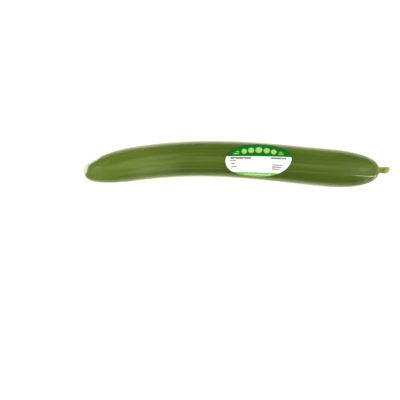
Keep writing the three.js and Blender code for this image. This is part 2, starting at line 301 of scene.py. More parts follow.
def mould_normal(along, turn):
    """Outward direction of the mould. At the blossom tip it points back along the spine."""
    along, turn = grids(along, turn)
    reach = np.maximum(np.minimum(0.05 * MM, along / 2), 1e-9)
    lengthwise = mould_point(along + reach, turn) - mould_point(along - reach, turn)
    around = mould_point(along, turn + 0.01) - mould_point(along, turn - 0.01)
    normal = np.cross(lengthwise, around)
    normal /= np.maximum(np.linalg.norm(normal, axis=-1, keepdims=True), 1e-30)
    return np.where((along <= 0)[..., None], -station(along)[1], normal)


def clearance(along, turn):
    """How high the flattened underside is over the table: 0 at the three places that carry the weight."""
    nearest = np.min([abs(along - place) for place in RESTING_PLACES], axis=0)
    off_down = np.arccos(np.clip(-np.sin(turn), -1, 1))
    rise = smooth(0, RESTING_RISE, nearest - RESTING_LENGTH / 2)
    return RESTING_CLEARANCE * np.maximum(rise, smooth(0, RESTING_RISE_TURN, off_down - RESTING_TURN / 2))


def above(along, turn, height, layers_below=-1.0):
    """Points at a height above the mould, pressed flat where they would go lower than the underside may."""
    along, turn, height = grids(along, turn, height)
    points = mould_point(along, turn) + mould_normal(along, turn) * height[..., None]
    points[..., 2] = np.maximum(points[..., 2], clearance(along, turn) + layers_below)
    return points


def straightened(along, turn):
    """Where a point lies on the fruit with its bow taken out, which patterns along the fruit follow."""
    along, turn = grids(along, turn)
    radius = mould_radius(along)
    return np.stack([along, radius * np.cos(turn), radius * np.sin(turn)], axis=-1)


def spread_rings(count, last):
    """Places of rings along the fruit, closer together where the ends round off."""
    ends = int(count * END_SHARE)
    rise = np.linspace(0, 1, ends + 1)[1:]
    blossom = BLOSSOM_ROUND * rise**BLOSSOM_CROWDING
    shoulder = FRUIT_LENGTH - SHOULDER_ROUND * rise[::-1] ** SHOULDER_CROWDING
    body = np.linspace(blossom[-1], shoulder[0], count - 2 * ends + 1)[1:-1]
    return np.concatenate([blossom, body, shoulder, [FRUIT_LENGTH, last]])


def angles(sides):
    """Ring angles, placed so that two of them lie the same way each side of straight down."""
    return -TAU / 4 + TAU * (np.arange(sides) + 0.5) / sides


# The frame's origin is under the middle of the whole, which the spine's own handles don't give.
CENTRE = np.zeros(2)
FRUIT_LOW, FRUIT_HIGH = (np.array(corner[:2]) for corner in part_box("fruit"))
MOULD = mould_point(np.append(spread_rings(120, NECK_END), 0)[:, None], angles(60)[None, :])
PLAN = MOULD[..., :2].reshape(-1, 2)
CENTRE = (PLAN.min(0) + PLAN.max(0) - FRUIT_LOW - FRUIT_HIGH) / 2


# ---- meshes
def quads(grid):
    """Faces between neighbours in a grid of point numbers."""
    corners = grid[:-1, :-1], grid[1:, :-1], grid[1:, 1:], grid[:-1, 1:]
    return np.stack(corners, axis=-1).reshape(-1, 4).tolist()


def loft(name, rings, first, last, **values):
    """A closed mesh through rings of points, anticlockwise as seen from the last ring, with a pole at each
    end. Each value is what the rings, the first pole and the last pole have."""
    count, sides = rings.shape[:2]
    points = np.concatenate([[first], rings.reshape(-1, 3), [last]])
    grid = 1 + np.arange(count * sides).reshape(count, sides)
    grid = np.concatenate([grid, grid[:, :1]], axis=1)
    faces = [(0, a, b) for a, b in zip(grid[0, :-1], grid[0, 1:])] + quads(grid)
    faces += [(len(points) - 1, b, a) for a, b in zip(grid[-1, :-1], grid[-1, 1:])]
    for key, (on_rings, start, end) in values.items():
        on_rings = np.broadcast_to(on_rings, (count, sides, *np.shape(start))).reshape(count * sides, -1)
        values[key] = np.concatenate([np.reshape(start, (1, -1)), on_rings, np.reshape(end, (1, -1))])
    return new_piece(name, points, faces, **values)


def double_sheet(name, outside, inside, poles, **values):
    """A closed mesh of a sheet's outside and then, from its far end back, its inside. Each value is what the
    sheet and the poles have."""
    there_and_back = lambda grid: np.concatenate([grid, grid[::-1]])
    values = {key: (there_and_back(grid), pole, pole) for key, (grid, pole) in values.items()}
    return loft(name, np.concatenate([outside, inside[::-1]]), *poles, **values)


def linked(name, data):
    """An object at the origin that holds the data."""
    made = bpy.data.objects.new(name, data)
    bpy.context.scene.collection.objects.link(made)
    return made


def give_values(mesh, **values):
    """Stores a number or a vector for each point of the mesh."""
    for key, each in values.items():
        each = np.asarray(each, np.float32).reshape(len(mesh.vertices), -1)
        kind, field = ("FLOAT_VECTOR", "vector") if each.shape[1] == 3 else ("FLOAT", "value")
        mesh.attributes.new(key, kind, "POINT").data.foreach_set(field, each.ravel())


def new_piece(name, points, faces, **values):
    """A smooth mesh object with its place in its mesh."""
    mesh = bpy.data.meshes.new(name)
    mesh.from_pydata([tuple(p) for p in points], [], faces)
    give_values(mesh, **values)
    mesh.shade_smooth()
    mesh.update()
    return linked(name, mesh)


def new_path(name, points):
    curve = bpy.data.curves.new(name, "CURVE")
    curve.dimensions = "3D"
    spline = curve.splines.new("POLY")
    spline.points.add(len(points) - 1)
    spline.points.foreach_set("co", np.column_stack([points, np.ones(len(points))]).ravel())
    return linked(name, curve)


def finish_piece(piece, material, slot, *nodes):
    """Gives a piece its material, puts it on the frame's one body and hides the solids it stands for."""
    piece.data.materials.clear()
    piece.data.materials.append(material)
    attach(piece, "root")
    if nodes:
        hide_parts(*nodes)


def dress_with_tree(piece, tree, values, wall=0.0):
    """Runs a Geometry Nodes tree on a piece, gives it a wall where one is asked for, and puts a plain mesh
    object of the same name in its place."""
    modifier = piece.modifiers.new(tree.name, "NODES")
    modifier.node_group = tree
    sockets = {s.name: s.identifier for s in tree.interface.items_tree if s.in_out == "INPUT"}
    for name, value in values.items():
        modifier[sockets[name]] = value
    if wall:
        solid = piece.modifiers.new("Wall", "SOLIDIFY")
        solid.thickness = wall
        solid.offset = 0
    mesh = bpy.data.meshes.new_from_object(piece.evaluated_get(bpy.context.evaluated_depsgraph_get()))
    name = piece.name
    bpy.data.objects.remove(piece)
    if not len(mesh.polygons):
        raise RuntimeError(f"the tree {tree.name} made nothing of {name}")
    mesh.name = name
    return linked(name, mesh)


# ---- node trees
class Value:
    """A number that a node tree works out. Arithmetic on it adds Math nodes."""

    def __init__(self, nodes, socket):
        self.nodes = nodes
        self.socket = socket

    def math(self, operation, *others):
        return self.nodes.math(operation, self, *others)

    def second(self, operation, first):
        return self.nodes.math(operation, first, self)

    __add__ = partialmethod(math, "ADD")
    __sub__ = partialmethod(math, "SUBTRACT")
    __mul__ = partialmethod(math, "MULTIPLY")
    __truediv__ = partialmethod(math, "DIVIDE")
    __pow__ = partialmethod(math, "POWER")
    __rsub__ = partialmethod(second, "SUBTRACT")
    __rtruediv__ = partialmethod(second, "DIVIDE")
    at_least = partialmethod(math, "MAXIMUM")
    at_most = partialmethod(math, "MINIMUM")
    sine = partialmethod(math, "SINE")
    cosine = partialmethod(math, "COSINE")

    def ramp(self, low, high, to_low=0.0, to_high=1.0, kind="SMOOTHSTEP"):
        """Goes from to_low at low to to_high at high."""
        ends = {"Value": self, "From Min": low, "From Max": high, "To Min": to_low, "To Max": to_high}
        return self.nodes.number("MapRange", ends, interpolation_type=kind)

    def line(self, low, high, to_low, to_high):
        """The same along a straight line."""
        return self.ramp(low, high, to_low, to_high, "LINEAR")


class Tree:
    """Fills a node tree. Shader nodes are named without the ShaderNode in front."""

    def __init__(self, tree):
        self.tree = tree
        self.count = 0

    def add(self, kind, *values, **settings):
        """Makes a node, feeds its inputs in order or, from a dict, by name or number. Gives its outputs."""
        node = self.tree.nodes.new(kind if kind.startswith(("Geometry", "NodeGroup")) else "ShaderNode" + kind)
        node.location = (220 * (self.count // 4), -260 * (self.count % 4))
        self.count += 1
        for key, value in settings.items():
            setattr(node, key, value)
        for index, value in enumerate(values):
            for key, each in (value if isinstance(value, dict) else {index: value}).items():
                self.feed(node.inputs[key], each)
        return node.outputs

    def feed(self, socket, value):
        if isinstance(value, Value):
            value = value.socket
        if isinstance(value, bpy.types.NodeSocket):
            self.tree.links.new(value, socket)
        else:
            socket.default_value = (*value[:3], 1.0) if socket.type == "RGBA" else value

    def number(self, kind, *values, **settings):
        """The first output of a node, as a number."""
        return Value(self, self.add(kind, *values, **settings)[0])

    def numbers(self, sockets):
        return [Value(self, socket) for socket in sockets]

    def math(self, operation, *values):
        return self.number("Math", *values, operation=operation)

    def vector_of(self, name):
        return self.add("Attribute", attribute_name=name)["Vector"]

    def numbers_of(self, *names):
        """Numbers that the piece's points have, for a material."""
        return self.numbers(self.add("Attribute", attribute_name=name)["Fac"] for name in names)

    def coated(self, colour, *coats):
        """The colour with coats over it, each given as how much of it there is and its own colour."""
        for amount, coat in coats:
            colour = self.add("Mix", {0: amount, 6: colour, 7: coat}, data_type="RGBA")[2]
        return colour

    def noise(self, vector, scale=1.0, detail=2.0, roughness=0.5):
        inputs = {"Vector": vector, "Scale": scale, "Detail": detail, "Roughness": roughness}
        return self.number("TexNoise", inputs)

    def stretched(self, vector, along, across):
        """The straightened place counted in cells that are along long and across wide."""
        cells = self.add("CombineXYZ", 1 / along, 1 / across, 1 / across)[0]
        return self.add("VectorMath", vector, cells, operation="MULTIPLY")[0]

    def bump(self, height, strength, distance):
        return self.add("Bump", {"Height": height, "Strength": strength, "Distance": distance})[0]

    def surface(self, colour, roughness, inputs):
        """The material's one shader, and its output."""
        shader = self.add("BsdfPrincipled", {"Base Color": colour, "Roughness": roughness, **inputs})[0]
        self.add("OutputMaterial", shader)

    def effect(self, name, inputs):
        """A shared effect by its group's name. The group is made when it is first asked for."""
        group = bpy.data.node_groups.get(name) or EFFECTS[name](name)
        return self.number("Group", inputs, node_tree=group)

    def named(self, *names):
        """Numbers that the piece's points have, for a Geometry Nodes tree."""
        kind = "GeometryNodeInputNamedAttribute"
        return [self.number(kind, {"Name": name}, data_type="FLOAT") for name in names]

    def moved_out(self, geometry, height):
        """The geometry with its points moved along their normals."""
        normal = self.add("GeometryNodeInputNormal")["Normal"]
        offset = self.add("VectorMath", {"Scale": height, "Vector": normal}, operation="SCALE")[0]
        return self.add("GeometryNodeSetPosition", {"Geometry": geometry, "Offset": offset})[0]

    def wavering(self, place):
        """Noise along one number."""
        return self.number("TexNoise", {"W": place, "Scale": 1.0}, noise_dimensions="1D")

    def hand_out(self, geometry):
        """The end of every Geometry Nodes tree."""
        real = self.add("GeometryNodeRealizeInstances", geometry)[0]
        smooth_shaded = self.add("GeometryNodeSetShadeSmooth", {"Geometry": real, "Shade Smooth": True})[0]
        self.add("NodeGroupOutput", self.add("GeometryNodeSetMaterial", {"Geometry": smooth_shaded})[0])


def emptied(owner):
    """A new material or world, and what fills its node tree."""
    owner.use_nodes = True
    owner.node_tree.nodes.clear()
    return owner, Tree(owner.node_tree)


def new_group(name, kind, carried, result, numbers):
    """A node group that takes one thing and numbers, given by name with their defaults, and puts one thing
    out. Gives what fills it, its first input and the numbers in order."""
    tree = bpy.data.node_groups.new(name, kind + "NodeTree")
    sockets = [("INPUT", *carried, None)]
    for label, default in numbers.items():
        sockets.append(("INPUT", label, "Int" if isinstance(default, int) else "Float", default))
    for direction, label, socket_kind, default in (*sockets, ("OUTPUT", *result, None)):
        socket = tree.interface.new_socket(label, in_out=direction, socket_type="NodeSocket" + socket_kind)
        if default is not None:
            socket.default_value = default
    nodes = Tree(tree)
    entry = nodes.add("NodeGroupInput")
    return nodes, entry[0], nodes.numbers(entry[label] for label in numbers)


def effect_group(name, result, numbers):
    return new_group(name, "Shader", ("Place", "Vector"), (result, "Float"), numbers)


def shaping_group(name, numbers):
    return new_group(name, "Geometry", ("Geometry", "Geometry"), ("Geometry", "Geometry"), numbers)


# ---- shared effects
def streaks_group(name):
    """Fine stripes that run along the fruit, the stem or the film, some strong and some faint."""
    nodes, place, (length, width, coverage) = effect_group(
        name, "Mask", {"Length": 0.06, "Width": 0.0015, "Coverage": 0.4}
    )
    fine = nodes.noise(nodes.stretched(place, length, width), detail=3.0, roughness=0.55)
    edge = (1 - coverage) * 0.4
    nodes.add("NodeGroupOutput", fine.ramp(edge + 0.28, edge + 0.46))
    return nodes.tree


def crinkle_group(name):
    """The small unevenness of shrunk film: long pulls along the fruit and short ones across it."""
    nodes, place, (length, width, pucker) = effect_group(
        name, "Height", {"Pull Length": 0.07, "Pull Width": 0.003, "Pucker": 0.0}
    )
    pulls = nodes.noise(nodes.stretched(place, length, width))
    puckers = nodes.noise(nodes.stretched(place, 0.0018, 0.012))
    nodes.add("NodeGroupOutput", pulls + puckers * pucker)
    return nodes.tree


EFFECTS = {"Lengthwise Streaks": streaks_group, "Film Crinkle": crinkle_group}


# ---- materials
def skin_material(look):
    material, nodes = emptied(bpy.data.materials.new("cucumber_skin"))
    place = nodes.vector_of("straight")
    share, fullness, furrow = nodes.numbers_of("share", "fullness", "furrow")

    blossomwards = share.ramp(0.36, 0.16)
    stripes = nodes.noise(nodes.stretched(place, 0.22, 0.0042), detail=3.0, roughness=0.6)
    streaks = {"Place": place, "Length": 0.11, "Width": 0.0011, "Coverage": 0.4}
    pale = nodes.effect("Lengthwise Streaks", streaks)
    dots = nodes.add("TexVoronoi", {"Vector": place, "Scale": 380.0, "Randomness": 1.0})
    chosen = nodes.number("SeparateColor", dots["Color"]).ramp(0.55, 0.6)
    dot = Value(nodes, dots["Distance"]).ramp(0.13, 0.06) * chosen
    green = nodes.coated(
        look.dark_green,
        (stripes.ramp(0.34, 0.66), look.mid_green),
        (blossomwards * 0.6, look.blossom_green),
        # The furrows are painted darker: painted shade in them.
        (furrow * 0.3, look.dark_green),
        (pale * (blossomwards * 0.18 + 0.2), look.streak),
        (dot * 0.3, look.streak),
        (share.ramp(0.8, 0.93) * 0.55, look.stem_green),
        (share.ramp(0.075, 0.02) * 0.25, look.tip),
        (share.ramp(0.99, 1.0) * 0.6, look.neck),
        (fullness.ramp(0.16, 0.1) * share.ramp(0.2, 0.1), look.scar),
    )
    grain = nodes.noise(place, 1500.0, 3.0)
    relief = pale * 0.3 + dot * 0.8 + grain * 0.25 + stripes * 0.6
    normal = nodes.bump(relief, 0.35, 0.0003)
    nodes.surface(green, grain.line(0.3, 0.7, 0.5, 0.65), {"Specular IOR Level": 0.06, "Normal": normal})
    return material


def stem_material(look):
    material, nodes = emptied(bpy.data.materials.new("cucumber_stem"))
    place = nodes.vector_of("straight")
    # reach is 1 at the rim of the cut and 0 in its middle.
    ridge, reach, cut = nodes.numbers_of("ridge", "reach", "cut")
    streaks = {"Place": place, "Length": 0.012, "Width": 0.0005, "Coverage": 0.5}
    fibre = nodes.effect("Lengthwise Streaks", streaks)
    # Darker between the ridges and lighter on their crests: painted shade and light.
    green = nodes.coated(look.furrow, (ridge.ramp(0.2, 0.9), look.ridge), (fibre * 0.4, look.fibre))

    bundles = nodes.add("TexVoronoi", {"Vector": place, "Scale": 1100.0})
    bundle = Value(nodes, bundles["Distance"]).ramp(0.35, 0.2) * reach.ramp(0.3, 0.45) * reach.ramp(0.9, 0.75)
    flesh = nodes.coated(look.pith, (reach.ramp(0.55, 0.98), look.rind), (bundle * 0.5, look.rind))
    relief = fibre * (1 - cut) + bundle * 0.8 + nodes.noise(place, 2500.0) * 0.5
    colour = nodes.coated(green, (cut.ramp(0.4, 0.6), flesh))
    normal = nodes.bump(relief, 0.5, 0.0002)
    nodes.surface(colour, cut.line(0.0, 1.0, 0.55, 0.72), {"Specular IOR Level": 0.15, "Normal": normal})
    return material


def film_material(name, look, gathered=False):
    """Clear film. It shows only what it mirrors, so it is a mirror that is as opaque as the film is bright
    there, and milky where it is gathered or creased. Over the shoulder, in its rucks and in streaks it is
    whitened as painted sheen, partly the real milkiness of ribbed film."""
    material, nodes = emptied(bpy.data.materials.new(name))
    place = nodes.vector_of("straight")
    pucker, crumpled, milky = nodes.numbers_of("pucker", "crumpled", "milky")
    sheen, rucked = nodes.numbers_of("sheen", "rucked")
    crinkle = {"Place": place, "Pull Length": 0.08, "Pull Width": 0.0035, "Pucker": pucker * 1.5}
    normal = nodes.bump(nodes.effect("Film Crinkle", crinkle), 0.6 if gathered else 0.25, 0.0004)
    fresnel = nodes.number("Fresnel", {"IOR": 1.5, "Normal": normal})
    grazing = ((fresnel - SQUARE_ON) / (EDGE_ON - SQUARE_ON)).at_least(0.0).at_most(1.0) ** 0.8
    gloss = (grazing * look.glare + look.gloss) * (1 - crumpled)
    haze = milky * nodes.noise(nodes.stretched(place, 0.004, 0.004), detail=3.0).ramp(0.3, 0.7, 0.7, 1.0)
    ribs = nodes.noise(nodes.stretched(place, 0.0022, 0.015)).line(0.3, 0.7, 0.65, 1.3)
    rucks = nodes.noise(nodes.stretched(place, 0.0016, 0.007)).ramp(0.46, 0.6)
    # The sheen and the rucks whiten the film: painted sheen, partly the real milkiness of ribbed, rucked film.
    painted_sheen = sheen * ribs * look.painted_sheen_strength + rucked * rucks * look.rucking
    alpha = (gloss + painted_sheen).at_least(haze)
    if not gathered:
        alpha = alpha * (1 - Value(nodes, nodes.add("NewGeometry")["Backfacing"]))
    metal = haze.line(0.02, 0.12, 1.0, 0.0) * (gloss / (gloss + painted_sheen))
    nodes.surface(
        nodes.coated(look.shine, (grazing, look.rim), (haze.ramp(0.0, 0.3), look.milk)),
        haze.line(0.0, 0.4, look.roughness, 0.45),
        {"Metallic": metal, "Alpha": alpha, "Normal": normal},
    )
    return material


def label_material(look):
    """A printed sticker: a dark green field over a white and a lime one, with plain rules and cut slices."""
    material, nodes = emptied(bpy.data.materials.new("cucumber_label"))
    across, up, _ = nodes.numbers(nodes.add("SeparateXYZ", nodes.vector_of("print")))

    def inside(value, low, high):
        from_low = value.ramp(low * MM - PRINT_EDGE, low * MM + PRINT_EDGE)
        return from_low * value.ramp(high * MM + PRINT_EDGE, high * MM - PRINT_EDGE)

    coats = [
        (up.ramp(look.green_from - PRINT_EDGE, look.green_from + PRINT_EDGE), look.green),
        (up.ramp(look.lime_to + PRINT_EDGE, look.lime_to - PRINT_EDGE), look.lime),
    ]
    spots = nodes.add("CombineXYZ", across / (1.3 * MM), up / (2.4 * MM))[0]
    dashes = nodes.noise(spots, detail=1.0).ramp(0.3, 0.44, 0.25, 0.9)
    for rules, ink in ((LABEL_RULES, look.ink), (LIME_RULES, look.lime)):
        for left, right, foot, thickness in rules:
            coats.append((inside(across, left, right) * inside(up, foot, foot + thickness) * dashes, ink))
    for middle, height, size in LABEL_SLICES:
        x = across - middle * MM
        y = up - height * MM
        distance = (x * x + y * y).math("SQRT") / (size * MM)
        flesh = distance.ramp(0.84, 0.8)
        rind = distance.ramp(1.04, 0.98) * distance.ramp(0.84, 0.9)
        seeds = (y.math("ARCTAN2", x) * SEEDS_ROUND).cosine().ramp(-0.4, 0.4, 0.4, 1.0)
        seeds = seeds * inside(distance * MM, 0.22, 0.6) * flesh
        coats += [(flesh, look.slice), (rind, look.lime), (seeds, look.lime)]
    wave = (across * (TAU / WAVE_LENGTH)).sine() * WAVE_HEIGHT + look.wave_at
    line = inside(up - wave, -WAVE_WIDTH, WAVE_WIDTH) * inside(across, -WAVE_REACH, WAVE_REACH)
    coats.append((line, look.white))

    place = nodes.vector_of("straight")
    crinkle = {"Place": place, "Pull Length": 0.05, "Pull Width": 0.006, "Pucker": 0.1}
    normal = nodes.bump(nodes.effect("Film Crinkle", crinkle), 0.15, 0.0003)
    roughness = nodes.noise(place, 3000.0).line(0.2, 0.8, 0.4, 0.5)
    nodes.surface(nodes.coated(look.white, *coats), roughness, {"Specular IOR Level": 0.12, "Normal": normal})
    return material


def table_material(look):
    material, nodes = emptied(bpy.data.materials.new("table"))
    rays = nodes.add("LightPath")
    camera_ray, glossy_ray = nodes.numbers(rays[name] for name in ("Is Camera Ray", "Is Glossy Ray"))
    seen = camera_ray.at_least(glossy_ray * look.table_mirrored)
    glow = seen.line(0.0, 1.0, look.table_glow, look.table_white)
    inputs = {"Specular IOR Level": 0.1, "Emission Color": WHITE, "Emission Strength": glow}
    nodes.surface(look.table, 0.9, inputs)
    return material


# ---- Geometry Nodes trees
def relief_tree():
    """The fruit's furrows, which deepen towards both ends, and the slow unevenness of a grown skin."""
    nodes, geometry, (furrows, depth, end_depth, sway, ripple, seed) = shaping_group(
        "Skin Relief",
        {"Furrows": 10.0, "Depth": 0.0004, "End Depth": 0.00075, "Sway": 0.12, "Ripple": 0.00012, "Seed": 3.0},
    )
    share, turn, fullness, lowest = nodes.named("share", "turn", "fullness", "lowest")
    in_body = share.ramp(0.04, 0.3) * share.ramp(0.98, 0.74)
    onset = fullness.ramp(0.6, 0.98)
    uneven = ((turn * 3 + 1.3).sine() - 1) * 0.25 + 1
    swayed = turn + (share * 4).sine() * sway
    wave = ((swayed * furrows).cosine() - 1) * -0.5
    notch = wave * wave * onset
    furrow = notch * uneven * (end_depth + (depth - end_depth) * in_body)

    straight = nodes.add("GeometryNodeInputNamedAttribute", {"Name": "straight"}, data_type="FLOAT_VECTOR")[0]
    inputs = {"Vector": nodes.stretched(straight, 0.05, 0.004), "W": seed, "Scale": 1.0, "Detail": 2.0}
    noise = nodes.number("TexNoise", inputs, noise_dimensions="4D")
    moved = nodes.moved_out(geometry, (noise - 0.5) * ripple * 2 * onset - furrow)

    x, y, z = nodes.numbers(nodes.add("SeparateXYZ", nodes.add("GeometryNodeInputPosition")[0]))
    pressed = nodes.add("CombineXYZ", x, y, z.at_least(lowest))[0]
    flat = nodes.add("GeometryNodeSetPosition", {"Geometry": moved, "Position": pressed})[0]
    # The notch is kept as furrow, for the skin's painted shade in the furrows.
    stored = {"Geometry": flat, "Name": "furrow", "Value": notch}
    nodes.hand_out(nodes.add("GeometryNodeStoreNamedAttribute", stored, data_type="FLOAT", domain="POINT")[0])
    return nodes.tree


def fold_tree():
    """A bead along a path, highest where it is told to be: a crease that stands up from the film."""
    nodes, path, (size, sides, waviness, highest, bluntness, seed) = shaping_group(
        "Film Fold",
        {"Radius": 0.0004, "Sides": 10, "Waviness": 0.3, "Highest": 0.5, "Bluntness": 1.0, "Seed": 1.0},
    )
    along = nodes.number("GeometryNodeSplineParameter")
    rising = (along / highest).at_most((1 - along) / (1 - highest))
    peak = (rising * (math.pi / 2)).sine().at_least(0.0) ** 1.8
    arch = (peak * bluntness).at_most(1.0)
    uneven = ((nodes.wavering(along * 16 + seed) - 0.5) * waviness * 2 + 1).at_least(0.1)
    radius = (arch * uneven * size).at_least(0.00002)
    path = nodes.add("GeometryNodeSetCurveRadius", {"Curve": path, "Radius": radius})[0]
    ring = nodes.add("GeometryNodeCurvePrimitiveCircle", {"Resolution": sides, "Radius": 1.0})[0]
    sweep = {"Curve": path, "Profile Curve": ring, "Scale": radius, "Fill Caps": True}
    nodes.hand_out(nodes.add("GeometryNodeCurveToMesh", sweep)[0])
    return nodes.tree


def crimp_tree():
    """The crimps of the sealed tail: the film folds to and fro, more at its free edge than at its root."""
    nodes, geometry, (crimps, depth, seed) = shaping_group(
        "Tail Crimps", {"Crimps": 14.0, "Depth": 0.0004, "Seed": 5.0}
    )
    step, rise = nodes.named("step", "rise")
    phase = step * crimps * TAU + nodes.wavering(step * 7 + seed) * 4
    nodes.hand_out(nodes.moved_out(geometry, phase.sine() * depth * (rise * 0.8 + 0.2)))
    return nodes.tree


# ---- settings
def length(name, description, mm, lowest=0.0):
    return FloatProperty(
        name=name, description=description, default=mm * MM, min=lowest, unit="LENGTH", precision=5
    )


def colour(name, description, *on_screen):
    """A colour given as 0 to 255 on screen, kept as the linear numbers that Blender counts with."""
    share = np.array(on_screen) / 255
    linear = np.where(share <= 0.04045, share / 12.92, ((share + 0.055) / 1.055) ** 2.4)
    return FloatVectorProperty(
        name=name, description=description, default=tuple(linear), min=0.0, max=1.0, size=3, subtype="COLOR"
    )


def factor(name, description, default):
    return FloatProperty(
        name=name, description=description, default=default, min=0.0, max=1.0, subtype="FACTOR"
    )


class FruitSettings(PropertyGroup):
    furrows: IntProperty(name="Furrows", description="Furrows round the fruit", default=10, min=3)
    furrow_depth: length("Furrow Depth", "Depth of the furrows along the body", 0.4)
    furrow_end_depth: length("End Depth", "Depth of the furrows near both ends", 0.75)
    ripple: length("Ripple", "Height of the uneven skin between the furrows", 0.12)
    stem_green: colour("Stem Green", "Skin towards the stem", 52, 74, 8)
    dark_green: colour("Dark Green", "Skin where it is darkest", 61, 82, 12)
    mid_green: colour("Mid Green", "Skin between the dark parts", 81, 103, 24)
    blossom_green: colour("Blossom Green", "Skin of the third next to the blossom end", 99, 120, 40)
    streak: colour("Streak", "Pale streaks and dots", 118, 138, 62)
    tip: colour("Tip", "Skin at the blossom tip", 122, 145, 48)
    neck: colour("Neck", "Skin round the stem", 130, 146, 60)
    scar: colour("Scar", "Dry scar at the blossom tip", 150, 134, 88)


class StemSettings(PropertyGroup):
    ridge_height: length("Ridge Height", "Height of the five ridges", 0.2)
    dish: length("Dish", "How far the cut has shrunk in", 0.25)
    # Ridge and Furrow paint the stem lighter on its ridges' crests and darker between them: painted light and
    # shade.
    ridge: colour("Ridge", "Crest of a ridge", 106, 128, 34)
    furrow: colour("Furrow", "Between the ridges", 84, 103, 20)
    fibre: colour("Fibre", "Pale fibres", 122, 141, 52)
    pith: colour("Pith", "Middle of the cut", 130, 136, 78)
    rind: colour("Rind", "Rim of the cut", 142, 148, 92)


class FilmSettings(PropertyGroup):
    gloss: factor("Gloss", "How bright the film mirrors when it is looked at squarely", 0.013)
    glare: factor("Glare", "How much brighter it mirrors near its outline", 0.95)
    # Strength of the painted sheen over the ribbed shoulder and in the streaks.
    painted_sheen_strength: factor("Dullness", "How milky the ribbed film over the shoulder is", 0.04)
    # Strength of the whitened patches in the rucks: painted sheen, partly the rucked film's real milkiness.
    rucking: factor("Rucking", "How milky the rucks below the crease at the shoulder are", 0.13)
    wisps: factor("Wisps", "How milky the slack film near the tail is", 0.06)
    bunching: factor("Bunching", "How milky the bunched film is", 1.0)
    roughness: factor("Roughness", "Roughness of the clear film", 0.28)
    pleat_depth: length("Pleat Depth", "Depth of the pleats beside the tail", 0.2)
    lip: length("Lip", "Thickness of the film's edge round the stem", 0.1)
    fold: length("Fold", "Radius of the crease by the stem", 0.24)
    fine_fold: length("Fine Fold", "Radius of the crease by the blossom end", 0.16)
    seam: length("Seam", "Radius of the seam", 0.07)
    crimps: IntProperty(name="Crimps", description="Crimps of the sealed tail", default=14, min=1)
    crimp_depth: length("Crimp Depth", "Depth of the crimps", 0.35)
    shine: colour("Shine", "Tint of what the film mirrors", 252, 253, 196)
    rim: colour("Rim", "Tint of what it mirrors near its outline", 230, 239, 190)
    milk: colour("Milk", "Film that is gathered", 250, 249, 226)


class LabelSettings(PropertyGroup):
    green_from: length("Green From", "Foot of the dark green field, above the middle", 3.7)
    lime_to: length("Lime To", "Top of the lime field, above the middle", -13.8, -LABEL_WIDTH)
    wave_at: length("Wave At", "Height of the wavy line, above the middle", -16.6, -LABEL_WIDTH)
    green: colour("Green", "Dark green field", 0, 97, 24)
    white: colour("White", "White field", 253, 254, 248)
    lime: colour("Lime", "Lime field", 122, 200, 62)
    slice: colour("Slice", "Flesh of the printed slices", 168, 190, 128)
    ink: colour("Ink", "Printed rules", 52, 56, 50)


class StageSettings(PropertyGroup):
    table: colour("Table", "Table top", 150, 150, 150)
    table_glow: factor("Table Glow", "Light that the lit-through table gives the fruit", 0.3)
    table_white: factor("Table White", "How bright the lit-through table looks", 0.95)
    table_mirrored: factor("Table Mirrored", "How much of that brightness the film mirrors", 0.65)
    floor_size: length("Table Size", "Half the width of the table", 2500)


# ---- operators
class MakeFruit(Operator):
    """Makes the fruit: the mould with furrows pressed into it, in its skin"""

    bl_idname = "cucumber.make_fruit"
    bl_label = "Make Fruit"

    def execute(self, context):
        look = context.scene.cucumber_fruit
        along = spread_rings(FRUIT_RINGS, NECK_END)[:, None]
        turn = angles(FRUIT_SIDES)[None, :]
        fullness = mould_radius(along) / FULL_RADIUS
        piece = loft(
            "cucumber_fruit",
            above(along, turn, 0, FILM_OUTSIDE),
            above(0, 0, 0),
            mould_point(NECK_END, angles(4)).mean(0),
            share=(along / FRUIT_LENGTH, 0, 1),
            turn=(turn, 0, 0),
            fullness=(fullness, 0, fullness[-1, 0]),
            lowest=(clearance(along, turn) + FILM_OUTSIDE, 0, 0),
            straight=(straightened(along, turn), ORIGIN, (FRUIT_LENGTH, 0, 0)),
        )
        depths = {"Depth": look.furrow_depth, "End Depth": look.furrow_end_depth, "Ripple": look.ripple}
        piece = dress_with_tree(piece, relief_tree(), {"Furrows": float(look.furrows), **depths})
        finish_piece(piece, skin_material(look), "skin", "fruit")
        return {"FINISHED"}


